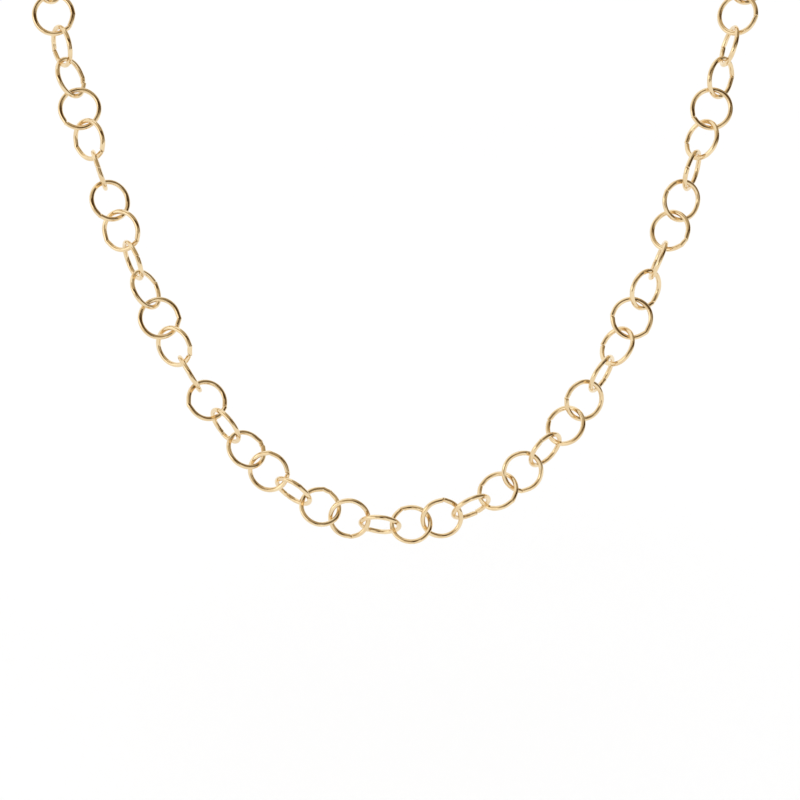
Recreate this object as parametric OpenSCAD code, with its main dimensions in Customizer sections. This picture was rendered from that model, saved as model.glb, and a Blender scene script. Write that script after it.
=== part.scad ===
// Rolo chain necklace: a whole loop of round wire links, shown as it is worn.
// Millimetres, +Z up, the front of the loop faces -Y and the origin is at the nape,
// in the middle of the back. The front half lies in a plane that leans on the chest.
// Behind it the chain runs round the neck to a spring ring clasp at the nape.

/* [Links] */
// Outside width of a round link
link_od = 7.65; // [6.8:0.1:8.6]
// Thickness of the link wire
wire_d = 0.86; // [0.7:0.02:1]
// Least gap between the wires of two links that are pulled tight
link_play = 0.11; // [0.1:0.01:0.2]
// Spacing of the slack links at the lowest point, as a share of the tight spacing
slack_share = 0.955; // [0.93:0.001:1]

/* [Front of the loop] */
// Width of the front where it meets the neck
front_span = 123.2; // [112:0.2:136]
// Height of the front, measured up its own slope
front_drop = 94.7; // [84:0.1:104]
// Roundness of the lowest point: radius of the curve as a share of half the width
front_fullness = 0.498; // [0.48:0.001:0.56]
// Lean of the front towards the neck in degrees
front_lean = 25; // [15:1:35]

/* [Round the neck] */
// How far the nape lies behind the top of the front
neck_depth = 63.5; // [58:0.5:80]
// How far the nape lies above the top of the front
neck_rise = 36; // [32:0.5:50]
// Length of the straight pull behind the top of the front
side_pull = 32; // [26:0.5:42]
// Length of the straight pull beside the nape
nape_pull = 38; // [32:0.5:46]

/* [Clasp] */
// Outside width of the clasp ring
clasp_od = 7; // [6:0.1:8]
// Thickness of the clasp ring
clasp_wire = 1.3; // [1:0.05:1.5]
// Thickness of the small eye at the end of the clasp
eye_wire = 0.9; // [0.7:0.05:1.1]
// Room in the eye beside the wire of the end link
eye_play = 1; // [0.8:0.1:1.4]
// Length of the thumb nub that stands out of the clasp ring
nub_len = 1.1; // [0.7:0.1:1.6]
// Thickness of the thumb nub
nub_d = 0.9; // [0.7:0.1:1]

/* [Hidden] */
$fn = 48;
GOLD = [0.84, 0.7, 0.47];

// Turn in degrees of each link against the one on its left, for the links of the
// front from the top left to the top right. Three links make about half a turn.
// Columns: first link, second link, third link
LINK_TURNS = [
    [60, 60, 60],
    [55, 45, 45],
    [65, 55, 45],
    [50, 45, 50],
    [50, 65, 95],
    [75, 60, 45],
    [85, 50, 45],
    [85, 50, 45],
    [80, 50, 45],
    [85, 60, 45],
    [60, 50, 45],
    [45, 60, 55],
    [45, 60, 50],
    [50, 50, 50],
];
// Usual turn in degrees between two links round the neck
NECK_TURN = 60;

// Number of straight steps that each stretch of the route is measured in
ROUTE_STEPS = 120;

function unit(v) = v / norm(v);
function across(v, t) = unit(v - (v * t) * t);
function mix(from, to, share) = from * (1 - share) + to * share;

// Link sizes. Two linked wires come closest beside their crossing point when the turn
// between the links is small, so the overlap of the links follows from the least turn.
link_r = (link_od - wire_d) / 2;
turns = [for (row = LINK_TURNS) each row];
least_turn = min(turns);
reach = (1 - cos(least_turn)) * link_r;
wire_gap = wire_d + link_play;
overlap = reach >= wire_gap ? wire_gap : (wire_gap ^ 2 + reach ^ 2) / (2 * reach);
tight_pitch = 2 * link_r - overlap;

// Clasp sizes along its own length, from the joint on its left to the one on its right
clasp_r = (clasp_od - clasp_wire) / 2;
eye_r = (wire_d + eye_play + eye_wire) / 2;
clasp_gap = (clasp_wire + wire_d) / 2 + link_play;
eye_gap = (eye_wire + wire_d) / 2 + link_play;
clasp_len = 2 * (clasp_r + eye_r + link_r) - clasp_gap - eye_gap - tight_pitch;
ring_x = link_r - clasp_gap - tight_pitch / 2 - clasp_len / 2 + clasp_r;
eye_x = ring_x + clasp_r + eye_r;

// Right half of the route. The front is a hanging curve in its leaning plane.
FORWARD = [0, -cos(front_lean), sin(front_lean)];
UP_FRONT = [0, sin(front_lean), cos(front_lean)];
UP = [0, 0, 1];
half_span = front_span / 2;
curl = front_fullness * half_span;
rad = 180 / PI;
function cosh(x) = (exp(x) + exp(-x)) / 2;
function sinh(x) = (exp(x) - exp(-x)) / 2;
stretch = front_drop / (curl * (cosh(half_span / curl) - 1));
shoulder = [half_span, -neck_depth, -neck_rise];
function front_point(x) =
    [x, shoulder.y, shoulder.z]
    - UP_FRONT * stretch * curl * (cosh(half_span / curl) - cosh(x / curl));

// The back is one smooth curve from the shoulder to the nape at the origin
shoulder_dir = unit([1, 0, 0] + UP_FRONT * stretch * sinh(half_span / curl));
pull_side = shoulder + shoulder_dir * side_pull;
pull_nape = [nape_pull, 0, 0];
function back_point(u) =
    shoulder * (1 - u) ^ 3
    + pull_side * 3 * u * (1 - u) ^ 2
    + pull_nape * 3 * u ^ 2 * (1 - u);

// Length along each stretch at every step of it
front_steps = [for (i = [0:ROUTE_STEPS]) front_point(half_span * i / ROUTE_STEPS)];
back_steps = [for (i = [0:ROUTE_STEPS]) back_point(i / ROUTE_STEPS)];
function lengths(points, start) = [
    for (i = 0, s = start; i < len(points);
        i = i + 1, s = s + (i < len(points) ? norm(points[i] - points[i - 1]) : 0)) s
];
front_lengths = lengths(front_steps, 0);
front_len = front_lengths[ROUTE_STEPS];
back_lengths = lengths(back_steps, front_len);
half_len = back_lengths[ROUTE_STEPS];

// Point on the right half at a length along it from the lowest point
function axis_table(points, lengths, axis) =
    [for (i = [0:ROUTE_STEPS]) [lengths[i], points[i][axis]]];
front_axes = [for (axis = [0:2]) axis_table(front_steps, front_lengths, axis)];
back_axes = [for (axis = [0:2]) axis_table(back_steps, back_lengths, axis)];
function route(s) =
    let (axes = s < front_len ? front_axes : back_axes)
    [for (axis = [0:2]) lookup(s, axes[axis])];

// Joints between links, counted from the lowest point. Spacing grows from the slack
// links at the lowest point to the tight ones at the top, then stays the same.
front_count = front_len / tight_pitch * 3 / (1 + 2 * slack_share);
back_len = half_len - clasp_len / 2 - front_len;
side_count = ceil(front_count + back_len / tight_pitch);
back_pitch = back_len / (side_count - front_count);
function joint_length(k) =
    k > front_count
        ? front_len + (k - front_count) * back_pitch
        : tight_pitch * (slack_share * k + (1 - slack_share) * k ^ 3 / (3 * front_count ^ 2));
function joint(k) =
    let (p = route(joint_length(abs(k))))
    [sign(k) * p.x, p.y, p.z];

// Turn of every link about the chain: the table on the front, then even steps that
// leave both end links square to the clasp
front_links = len(turns);
front_rolls = [
    for (i = 0, roll = 0; i < front_links;
        i = i + 1, roll = roll + (i < front_links ? turns[i] : 0)) roll
];
neck_links = side_count - front_links / 2;
function end_roll(roll) = 180 * round(roll / 180);
function neck_step(from, way) =
    (end_roll(from + way * NECK_TURN * neck_links) - from) / neck_links;
left_step = neck_step(front_rolls[0], -1);
right_step = neck_step(front_rolls[front_links - 1], 1);
function link_roll(j) =
    j < 0 ? front_rolls[0] - left_step * j
    : j < front_links ? front_rolls[j]
    : front_rolls[front_links - 1] + right_step * (j - front_links + 1);

// Direction away from the wearer, which roll is counted from
function outward(k, t) =
    let (s = joint_length(abs(k + 0.5)), share = max(0, (s - front_len) / (half_len - front_len)))
    across(mix(FORWARD, UP, share), t);

function frame_of(origin, x, y) =
    let (z = cross(x, y))
    [
        [x.x, y.x, z.x, origin.x],
        [x.y, y.y, z.y, origin.y],
        [x.z, y.z, z.z, origin.z],
        [0, 0, 0, 1],
    ];

module wire_ring(radius, wire) {
    rotate_extrude()
        translate([radius, 0])
            circle(d = wire);
}

// Link between joint k and joint k + 1, lying in the plane of the chain and its roll
module link(k) {
    from = joint(k);
    to = joint(k + 1);
    along = unit(to - from);
    face = outward(k, along);
    roll = link_roll(k + front_links / 2);
    wide = cross(face, along) * cos(roll) + face * sin(roll);
    multmatrix(frame_of((from + to) / 2, along, wide))
        wire_ring(link_r, wire_d);
}

module chain_left() {
    color(GOLD)
        for (k = [-side_count:-1])
            link(k);
}

module chain_right() {
    color(GOLD)
        for (k = [0:side_count - 1])
            link(k);
}

// Ring, eye and nub of the clasp, soldered into one piece that stands on edge
module clasp() {
    color(GOLD)
        translate((joint(side_count) + joint(-side_count)) / 2)
            rotate([90, 0, 0]) {
                translate([ring_x, 0, 0])
                    wire_ring(clasp_r, clasp_wire);
                translate([eye_x, 0, 0])
                    wire_ring(eye_r, eye_wire);
                translate([ring_x, clasp_r, 0])
                    rotate([-90, 0, 0])
                        cylinder(d = nub_d, h = clasp_wire / 2 + nub_len);
            }
}

chain_left();
chain_right();
clasp();
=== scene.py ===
"""Rolo chain necklace: the looks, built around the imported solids."""

import math

import bpy
import numpy as np
from mathutils import Matrix, Vector


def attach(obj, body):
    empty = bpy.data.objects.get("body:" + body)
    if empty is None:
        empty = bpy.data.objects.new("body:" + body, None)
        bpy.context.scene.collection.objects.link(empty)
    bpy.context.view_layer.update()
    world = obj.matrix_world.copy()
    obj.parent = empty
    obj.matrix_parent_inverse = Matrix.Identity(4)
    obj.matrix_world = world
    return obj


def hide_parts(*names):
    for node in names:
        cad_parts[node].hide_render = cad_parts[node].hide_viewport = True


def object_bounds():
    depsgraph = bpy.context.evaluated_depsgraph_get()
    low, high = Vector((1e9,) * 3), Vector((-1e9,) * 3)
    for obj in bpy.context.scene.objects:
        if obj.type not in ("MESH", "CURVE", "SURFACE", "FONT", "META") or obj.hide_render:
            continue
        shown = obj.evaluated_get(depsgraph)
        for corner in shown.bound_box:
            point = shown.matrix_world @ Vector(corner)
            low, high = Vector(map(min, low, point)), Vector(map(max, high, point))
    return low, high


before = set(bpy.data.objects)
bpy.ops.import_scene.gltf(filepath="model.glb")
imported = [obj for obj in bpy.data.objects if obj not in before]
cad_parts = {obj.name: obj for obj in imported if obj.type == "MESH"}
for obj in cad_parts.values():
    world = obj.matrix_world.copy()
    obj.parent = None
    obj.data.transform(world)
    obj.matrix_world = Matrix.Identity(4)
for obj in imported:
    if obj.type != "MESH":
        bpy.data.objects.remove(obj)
cad_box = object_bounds()

# The photograph: its size in pixels, the middle of the chain's lowest links and its scale
PHOTO_PX = 800
LOWEST_PX = Vector((395.6, 524.4))
METRES_PER_PX = 0.000177

# The front of the loop leans back by this angle, and the camera looks square at it
LEAN = math.radians(25)
LENS_MM = 100.0
SENSOR_MM = 36.0
RIGHT = Vector((1.0, 0.0, 0.0))
UP = Vector((0.0, math.sin(LEAN), math.cos(LEAN)))
FORWARD = Vector((0.0, -math.cos(LEAN), math.sin(LEAN)))

# Mesh steps along the wire of a link and round it, and how much denser the steps are
# at the closing seam
RING_STEPS = 120
WIRE_STEPS = 16
SEAM_DENSITY = 0.78

# How the real links depart from perfect rings: slow waves, a corner where the two
# straight ends of the wire meet, and a slanted groove and a small step at the joint
WAVE_M = 0.00002
WAVES_MIN = 2
WAVES_MAX = 7
CORNER_MIN = math.radians(11)
CORNER_MAX = math.radians(19)
GROOVE_SHARE = 0.42
GROOVE_WIDTH = math.radians(1.3)
GROOVE_SLANT = math.radians(3.4)
GROOVE_TURN = 0.6
STEP_M = 0.00006
STEP_FADE = math.radians(14)
FLAT_SHARE = 0.02

# Seed of the chance values, and the step in degrees that places on a link are sought in
SEED = 42
SEEK_STEP = 2

# Bends of the links of the front, counted from the top left, as angles seen in the
# photograph: 0 is right and 90 is up. The first is the closing seam, the others are
# corners without one.
BENDS_SEEN = {
    1: (-48, 2), 2: (190,), 3: (-20, 10), 4: (225,), 5: (-44, 200), 6: (0,), 7: (238,),
    8: (-39, 212), 9: (20,), 10: (45,), 11: (-26, 0), 12: (-40, 0), 13: (200,),
    14: (-26, 195), 15: (245,), 16: (10, 30), 17: (-8, 86), 18: (215, 32), 19: (55, 79),
    20: (-86,), 21: (204,), 22: (122,), 23: (83,), 24: (-46,), 25: (164, -31), 26: (269,),
    27: (119,), 28: (160,), 29: (172,), 30: (-47,), 31: (173,), 32: (172, -45),
    33: (-57,), 34: (0,), 35: (-35, -55), 36: (147,), 37: (166,), 38: (190,),
    39: (204,), 40: (10,), 41: (150,), 42: (-14,),
}

# A seam keeps at least this far from the two places where the link's neighbours pull
SEAM_CLEAR = math.radians(38)

# Width of the floor and how far it lies under the chain, in metres, with the noise scale
# and the darkest and lightest grey of its grain
FLOOR_SIZE = 6.0
FLOOR_DROP = 0.05
FLOOR_SCALE = 6
FLOOR_DARK = 0.92
FLOOR_LIGHT = 0.95

# Strength of the even white light all round
SKY_STRENGTH = 1.08

# Cards that only the gold reflects, seen from the chain: the right, up and forward
# parts of the directions to the middles of their two short sides, half width, distance,
# colour and strength
BROWN = (1.0, 0.55, 0.2)
TAN = (1.0, 0.84, 0.6)
CREAM = (1.0, 0.98, 0.94)
CARDS = [
    ("dark_low", (0.0, -0.62, 0.8), (0.1, 0.2, 0.97), 0.12, 0.9, BROWN, 0.07),
    ("dark_lens", (-0.5, 0.2, 0.85), (0.45, 0.34, 0.84), 0.14, 0.9, BROWN, 0.07),
    ("dark_high", (0.3, 0.28, 0.9), (0.76, 0.5, 0.41), 0.2, 0.9, BROWN, 0.07),
    ("dark_side", (0.78, 0.45, 0.45), (0.96, -0.1, -0.2), 0.24, 0.9, BROWN, 0.07),
    ("shade_low", (-0.15, -0.8, 0.6), (-0.05, 0.3, 0.95), 0.42, 1.1, TAN, 0.6),
    ("shade_lens", (-0.8, 0.25, 0.55), (0.45, 0.4, 0.8), 0.42, 1.15, TAN, 0.6),
    ("bright_side", (-0.95, 0.1, 0.3), (-0.45, -0.15, 0.88), 0.13, 0.9, CREAM, 1.7),
    ("dim_wall", (0.36, 0.3, 0.9), (0.86, 0.25, -0.5), 1.2, 1.3, TAN, 0.42),
]

# Surface of the gold: noise scales of its patterns, the parts of the noise's values that
# the colour and the gloss follow, and the heights of the ripples and scratches in metres
TINT_SCALE = 420
TINT_LOW = 0.35
TINT_HIGH = 0.65
WEAR_SCALE = 1500
WEAR_LOW = 0.3
WEAR_HIGH = 0.7
RIPPLE_SCALE = 700
RIPPLE_STRENGTH = 0.25
RIPPLE_M = 0.00006
SCRATCH_SCALE = 14000
SCRATCH_STRENGTH = 0.12
SCRATCH_M = 0.000008


# Links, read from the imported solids

def loose_solids(mesh):
    """The points of each loose solid of a mesh."""
    points = np.zeros(len(mesh.vertices) * 3)
    mesh.vertices.foreach_get("co", points)
    keys, welded = np.unique(np.round(points.reshape(-1, 3), 7), axis=0, return_inverse=True)
    edges = np.zeros(len(mesh.edges) * 2, int)
    mesh.edges.foreach_get("vertices", edges)
    edges = welded.reshape(-1)[edges].reshape(-1, 2)
    label = np.arange(len(keys))
    settled = False
    while not settled:
        before = label.copy()
        low = np.minimum(label[edges[:, 0]], label[edges[:, 1]])
        np.minimum.at(label, edges[:, 0], low)
        np.minimum.at(label, edges[:, 1], low)
        label = label[label]
        settled = bool((label == before).all())
    return [keys[label == name] for name in np.unique(label)]


def read_link(points):
    """Centre, axis and radii of one ring of round wire."""
    centre = points.mean(0)
    axis = np.linalg.svd(points - centre, full_matrices=False)[2][2]
    height = (points - centre) @ axis
    wire = (height.max() - height.min()) / 2
    flat = points - centre - np.outer(height, axis)
    outer = np.linalg.norm(flat, axis=1).max()
    return {"centre": centre, "axis": axis, "wire": wire, "radius": outer - wire}


def read_chain():
    """All links in their order from the left of the nape round the front to its right."""
    middle = (cad_box[0].y + cad_box[1].y) / 2
    links = []
    for node in ("chain_left", "chain_right"):
        for points in loose_solids(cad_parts[node].data):
            link = read_link(points)
            link["node"] = node
            links.append(link)
    links.sort(key=lambda link: math.atan2(link["centre"][0], middle - link["centre"][1]))
    count = len(links)
    for place, link in enumerate(links):
        before = links[(place - 1) % count]["centre"]
        after = links[(place + 1) % count]["centre"]
        along = after - before
        along -= link["axis"] * (along @ link["axis"])
        link["along"] = along / np.linalg.norm(along)
        link["across"] = np.cross(link["axis"], link["along"])
        link["number"] = place - (count - len(BENDS_SEEN)) // 2 + 1
    return links


# Link meshes

def places_on(link, angle):
    """Directions from the centre of a link to the places at these angles of its ring."""
    return np.cos(angle)[:, None] * link["along"] + np.sin(angle)[:, None] * link["across"]


def angle_seen(link, seen):
    """Angle in the link's own plane of the place that shows at this angle in the photo."""
    angle = np.radians(np.arange(0, 360, SEEK_STEP))
    places = places_on(link, angle)
    flat = np.stack([places @ np.array(RIGHT), places @ np.array(UP)], 1)
    toward = np.array([math.cos(math.radians(seen)), math.sin(math.radians(seen))])
    likeness = flat @ toward / (np.linalg.norm(flat, axis=1) + 1e-9)
    best = angle[np.argmax(likeness)]
    return math.atan2(math.sin(best), math.cos(best))


def bend_angles(link, chance):
    """Angles of the seam and the corners of a link, from the chain's direction."""
    side = chance.choice((-1, 1))
    usual = side * (math.pi / 2 + chance.uniform(-1, 1) * (math.pi / 2 - SEAM_CLEAR))
    seen = BENDS_SEEN.get(link["number"])
    bends = [angle_seen(link, place) for place in seen] if seen else [usual]
    low, high = SEAM_CLEAR, math.pi - SEAM_CLEAR
    bends[0] = math.copysign(min(max(abs(bends[0]), low), high), bends[0])
    return bends


def bent(radius, away, corner):
    """Radius near a bend: straight wire on both sides of it, up to the corner's angle."""
    away = np.abs((away + math.pi) % (2 * math.pi) - math.pi)
    return radius / np.cos(np.clip(corner - away, 0, None))


def link_points(link, chance):
    """Surface points of one link, as rings of points round its wire."""
    bends = bend_angles(link, chance)
    share = np.linspace(-1, 1, RING_STEPS + 1)[:-1]
    offset = math.pi * ((1 - SEAM_DENSITY) * share + SEAM_DENSITY * share ** 3)
    angle = bends[0] + offset
    radius = np.full(RING_STEPS, link["radius"])
    for bend in bends:
        radius = bent(radius, angle - bend, chance.uniform(CORNER_MIN, CORNER_MAX))
    step = STEP_M * chance.uniform(-1, 1, 2)
    fade = np.sign(offset + 1e-9) * np.exp(-np.abs(offset) / STEP_FADE)
    height = step[1] * fade
    radius = radius + step[0] * fade
    for waves in range(WAVES_MIN, WAVES_MAX + 1):
        size = WAVE_M * chance.uniform(-1, 1, 2) * 2 / waves
        phase = chance.uniform(0, 2 * math.pi, 2)
        radius = radius + size[0] * np.cos(waves * angle + phase[0])
        height = height + size[1] * np.cos(waves * angle + phase[1])
    turn = np.linspace(0, 2 * math.pi, WIRE_STEPS, endpoint=False)
    slant = GROOVE_SLANT * np.sin(turn + chance.uniform(-GROOVE_TURN, GROOVE_TURN))
    cut = offset[:, None] - slant[None, :]
    groove = 1 - GROOVE_SHARE * np.exp(-(cut / GROOVE_WIDTH) ** 2)
    lean = chance.uniform(0, 2 * math.pi)
    flat = 1 + FLAT_SHARE * np.cos(2 * turn[None, :] + lean + 2 * angle[:, None])
    wire = link["wire"] * groove * flat
    outward = radius[:, None] + wire * np.cos(turn)[None, :]
    upward = height[:, None] + wire * np.sin(turn)[None, :]
    away = places_on(link, angle)[:, None, :] * outward[..., None]
    return link["centre"] + away + link["axis"] * upward[..., None]


def tube_faces(rings, sides, first):
    """Quads of a closed tube of rings of points that joins its own start."""
    ring, side = np.meshgrid(np.arange(rings), np.arange(sides), indexing="ij")
    here = ring * sides + side
    beside = ring * sides + (side + 1) % sides
    ahead = (ring + 1) % rings * sides + side
    both = (ring + 1) % rings * sides + (side + 1) % sides
    return np.stack([here, beside, both, ahead], -1).reshape(-1, 4) + first


def mesh_object(name, points, faces):
    mesh = bpy.data.meshes.new(name)
    mesh.from_pydata(points.tolist(), [], faces.tolist())
    mesh.polygons.foreach_set("use_smooth", [True] * len(mesh.polygons))
    mesh.update()
    piece = bpy.data.objects.new(name, mesh)
    bpy.context.collection.objects.link(piece)
    return piece


def make_chain(name, node, links, material, chance):
    points, faces = [], []
    size = RING_STEPS * WIRE_STEPS
    for place, link in enumerate(link for link in links if link["node"] == node):
        points.append(link_points(link, chance).reshape(-1, 3))
        faces.append(tube_faces(RING_STEPS, WIRE_STEPS, place * size))
    piece = mesh_object(name, np.vstack(points), np.vstack(faces))
    piece.data.materials.append(material)
    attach(piece, "root")
    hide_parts(node)
    return piece


# Materials

def new_material(name):
    material = bpy.data.materials.new(name)
    material.use_nodes = True
    return material, material.node_tree.nodes, material.node_tree.links


def add_noise(nodes, links, place, scale, detail):
    noise = nodes.new("ShaderNodeTexNoise")
    noise.inputs["Scale"].default_value = scale
    noise.inputs["Detail"].default_value = detail
    links.new(place.outputs["Object"], noise.inputs["Vector"])
    return noise


def add_range(nodes, links, source, low, high):
    scaled = nodes.new("ShaderNodeMapRange")
    scaled.inputs["From Min"].default_value = WEAR_LOW
    scaled.inputs["From Max"].default_value = WEAR_HIGH
    scaled.inputs["To Min"].default_value = low
    scaled.inputs["To Max"].default_value = high
    links.new(source, scaled.inputs["Value"])
    return scaled.outputs["Result"]


def add_bump(nodes, links, noise, strength, distance):
    bump = nodes.new("ShaderNodeBump")
    bump.inputs["Strength"].default_value = strength
    bump.inputs["Distance"].default_value = distance
    links.new(noise.outputs["Fac"], bump.inputs["Height"])
    return bump


def gold_material(name, pale, deep, rough_low, rough_high):
    """Polished gold: slow changes of colour and gloss, faint ripples and fine scratches."""
    material, nodes, links = new_material(name)
    shader = nodes["Principled BSDF"]
    shader.inputs["Metallic"].default_value = 1.0
    place = nodes.new("ShaderNodeTexCoord")
    tint = add_noise(nodes, links, place, TINT_SCALE, 3)
    ramp = nodes.new("ShaderNodeValToRGB")
    ramp.color_ramp.elements[0].position = TINT_LOW
    ramp.color_ramp.elements[0].color = (*deep, 1)
    ramp.color_ramp.elements[1].position = TINT_HIGH
    ramp.color_ramp.elements[1].color = (*pale, 1)
    links.new(tint.outputs["Fac"], ramp.inputs["Fac"])
    links.new(ramp.outputs["Color"], shader.inputs["Base Color"])
    wear = add_noise(nodes, links, place, WEAR_SCALE, 4)
    roughness = add_range(nodes, links, wear.outputs["Fac"], rough_low, rough_high)
    links.new(roughness, shader.inputs["Roughness"])
    ripple = add_noise(nodes, links, place, RIPPLE_SCALE, 1)
    scratch = add_noise(nodes, links, place, SCRATCH_SCALE, 2)
    low_bump = add_bump(nodes, links, ripple, RIPPLE_STRENGTH, RIPPLE_M)
    fine_bump = add_bump(nodes, links, scratch, SCRATCH_STRENGTH, SCRATCH_M)
    links.new(low_bump.outputs["Normal"], fine_bump.inputs["Normal"])
    links.new(fine_bump.outputs["Normal"], shader.inputs["Normal"])
    return material


def floor_material():
    material, nodes, links = new_material("pale_floor")
    shader = nodes["Principled BSDF"]
    place = nodes.new("ShaderNodeTexCoord")
    grain = add_noise(nodes, links, place, FLOOR_SCALE, 2)
    ramp = nodes.new("ShaderNodeValToRGB")
    ramp.color_ramp.elements[0].color = (FLOOR_DARK, FLOOR_DARK, FLOOR_DARK, 1)
    ramp.color_ramp.elements[1].color = (FLOOR_LIGHT, FLOOR_LIGHT, FLOOR_LIGHT, 1)
    links.new(grain.outputs["Fac"], ramp.inputs["Fac"])
    links.new(ramp.outputs["Color"], shader.inputs["Base Color"])
    shader.inputs["Roughness"].default_value = 1.0
    shader.inputs["Specular IOR Level"].default_value = 0.0
    return material


def glow_material(name, colour, strength):
    material, nodes, links = new_material(name)
    nodes.remove(nodes["Principled BSDF"])
    glow = nodes.new("ShaderNodeEmission")
    glow.inputs["Color"].default_value = (*colour, 1)
    glow.inputs["Strength"].default_value = strength
    links.new(glow.outputs["Emission"], nodes["Material Output"].inputs["Surface"])
    return material


# Camera, floor and light

def make_camera(links):
    half = len(BENDS_SEEN) // 2
    lowest = [link["centre"] for link in links if link["number"] in (half, half + 1)]
    low = Vector(sum(lowest) / 2)
    shift = (Vector((PHOTO_PX, PHOTO_PX)) / 2 - LOWEST_PX) * METRES_PER_PX
    aim = low + RIGHT * shift.x - UP * shift.y
    distance = PHOTO_PX * METRES_PER_PX * LENS_MM / SENSOR_MM
    data = bpy.data.cameras.new("camera")
    data.lens = LENS_MM
    data.sensor_width = SENSOR_MM
    data.clip_start = 0.01
    data.clip_end = 30
    camera = bpy.data.objects.new("camera", data)
    bpy.context.collection.objects.link(camera)
    turn = Matrix((RIGHT, UP, FORWARD)).transposed().to_4x4()
    camera.matrix_world = Matrix.Translation(aim + FORWARD * distance) @ turn
    bpy.context.scene.camera = camera
    return aim


def make_floor():
    half = FLOOR_SIZE / 2
    height = cad_box[0].z - FLOOR_DROP
    corners = [(-half, -half), (half, -half), (half, half), (-half, half)]
    points = np.array([(x, y, height) for x, y in corners])
    floor = mesh_object("floor", points, np.array([[0, 1, 2, 3]]))
    floor.data.materials.append(floor_material())


def frame_direction(parts):
    return (RIGHT * parts[0] + UP * parts[1] + FORWARD * parts[2]).normalized()


def make_card(name, start, end, half_width, distance, colour, strength, aim):
    first, last = frame_direction(start), frame_direction(end)
    side = first.cross(last).normalized() * half_width
    corners = [first - side, first + side, last + side, last - side]
    points = np.array([aim + corner * distance for corner in corners])
    card = mesh_object(name, points, np.array([[0, 1, 2, 3]]))
    card.data.materials.append(glow_material(name, colour, strength))
    card.visible_camera = False
    card.visible_diffuse = False
    card.visible_shadow = False
    card.visible_transmission = False


def make_world(strength):
    world = bpy.data.worlds.new("studio")
    bpy.context.scene.world = world
    world.use_nodes = True
    sky = world.node_tree.nodes["Background"]
    sky.inputs["Color"].default_value = (1, 1, 1, 1)
    sky.inputs["Strength"].default_value = strength


chain = read_chain()
aim = make_camera(chain)
make_floor()
make_world(SKY_STRENGTH)
for card in CARDS:
    make_card(*card, aim)
bpy.context.scene.view_settings.view_transform = "Standard"

chance = np.random.default_rng(SEED)
gold_wire = gold_material(
    "gold_wire_polished", (0.89, 0.72, 0.46), (0.80, 0.61, 0.36), 0.06, 0.15)
gold_clasp = gold_material(
    "gold_clasp_polished", (0.89, 0.71, 0.44), (0.82, 0.61, 0.35), 0.08, 0.2)
make_chain("links_left", "chain_left", chain, gold_wire, chance)
make_chain("links_right", "chain_right", chain, gold_wire, chance)
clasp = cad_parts["clasp"]
clasp.data.materials.clear()
clasp.data.materials.append(gold_clasp)
